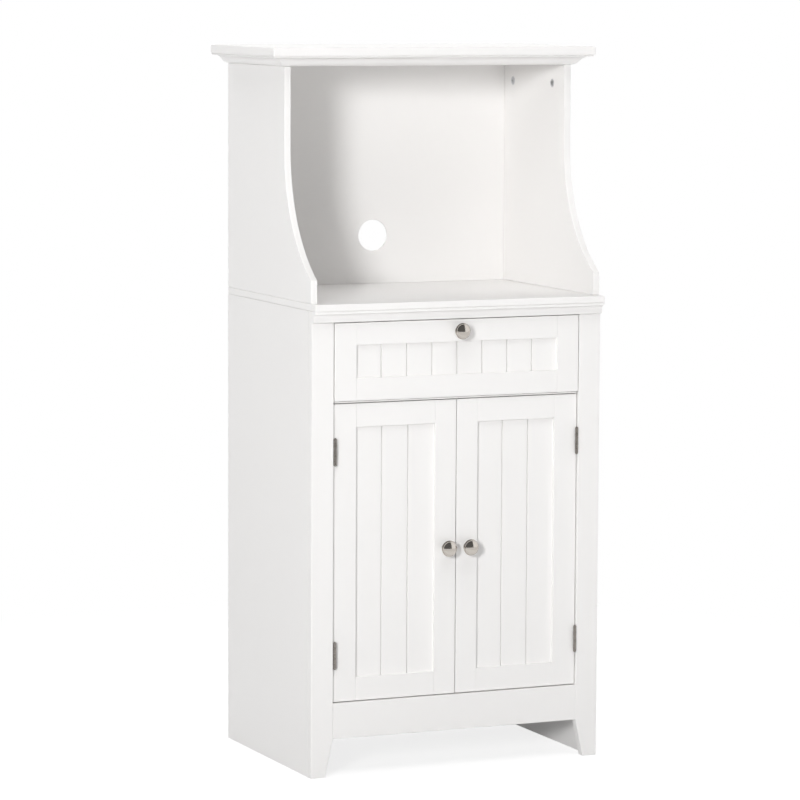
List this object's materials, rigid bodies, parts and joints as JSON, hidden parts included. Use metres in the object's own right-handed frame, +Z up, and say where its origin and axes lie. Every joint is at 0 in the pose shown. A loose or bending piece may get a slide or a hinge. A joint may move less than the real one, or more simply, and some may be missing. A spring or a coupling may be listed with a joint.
{
  "type": "microwave cabinet",
  "caption": "Tall painted kitchen cabinet: an open microwave bay with curved sides under a moulded crown, above a drawer and a pair of grooved doors.",
  "frame": {"origin": "on the floor, under the middle of the bounding box, which runs from the rear edges to the tip of the drawer knob", "axes": "+Z up, the front with the doors faces -Y, +X to the right of someone who faces the doors"},
  "size_m": [0.6, 0.411, 1.225],
  "materials": {
    "white_paint": "satin white paint on fibreboard",
    "white_lining": "satin white coating on board",
    "nickel": "polished nickel plate",
    "steel": "plain steel",
    "zinc": "zinc plate",
    "nylon": "matt nylon",
    "beech": "plain beech"
  },
  "bodies": {
    "carcass": {"crown_board": "white_paint", "crown_front_moulding": "white_paint", "crown_left_moulding": "white_paint", "crown_right_moulding": "white_paint", "hutch_top": "white_paint", "hutch_left_side": "white_paint", "hutch_right_side": "white_paint", "hutch_back": "white_lining", "counter_board": "white_paint", "counter_moulding": "white_paint", "base_left_side": "white_paint", "base_right_side": "white_paint", "left_leg": "white_paint", "right_leg": "white_paint", "apron": "white_paint", "divider": "white_lining", "cupboard_floor": "white_lining", "base_back": "white_lining", "shelf": "white_lining", "shelf_pins": "nickel", "left_runner_block": "white_lining", "right_runner_block": "white_lining", "left_runner": "nylon", "right_runner": "nylon", "runner_screws": "zinc", "cam_locks": "zinc", "cam_bolts": "steel", "dowels": "beech", "catch_case": "nylon", "catch_poles": "steel", "catch_screws": "zinc", "frame_leaves": "nickel", "frame_leaf_screws": "nickel", "hinge_pins": "nickel"},
    "drawer": {"drawer_front_stiles": "white_paint", "drawer_front_rails": "white_paint", "drawer_front_panel": "white_paint", "drawer_inner_front": "white_lining", "drawer_left_side": "white_lining", "drawer_right_side": "white_lining", "drawer_back": "white_lining", "drawer_bottom": "white_lining", "drawer_knob": "nickel", "drawer_knob_screw": "zinc"},
    "left_door": {"left_door_stiles": "white_paint", "left_door_rails": "white_paint", "left_door_panel": "white_paint", "left_door_knob": "nickel", "left_knob_screw": "zinc", "left_door_leaves": "nickel", "left_leaf_screws": "nickel", "left_strike_plate": "steel"},
    "right_door": {"right_door_stiles": "white_paint", "right_door_rails": "white_paint", "right_door_panel": "white_paint", "right_door_knob": "nickel", "right_knob_screw": "zinc", "right_door_leaves": "nickel", "right_leaf_screws": "nickel", "right_strike_plate": "steel"}
  },
  "joints": [
    {"name": "drawer_slide", "type": "slide", "parent": "carcass", "child": "drawer", "axis": [0, -1, 0], "range_m": [0, 0.22]},
    {"name": "left_door_hinge", "type": "hinge", "parent": "carcass", "child": "left_door", "pos_m": [-0.225, -0.1785, 0.38], "axis": [0, 0, -1], "range_deg": [0, 170]},
    {"name": "right_door_hinge", "type": "hinge", "parent": "carcass", "child": "right_door", "pos_m": [0.225, -0.1785, 0.38], "axis": [0, 0, 1], "range_deg": [0, 170]}
  ]
}
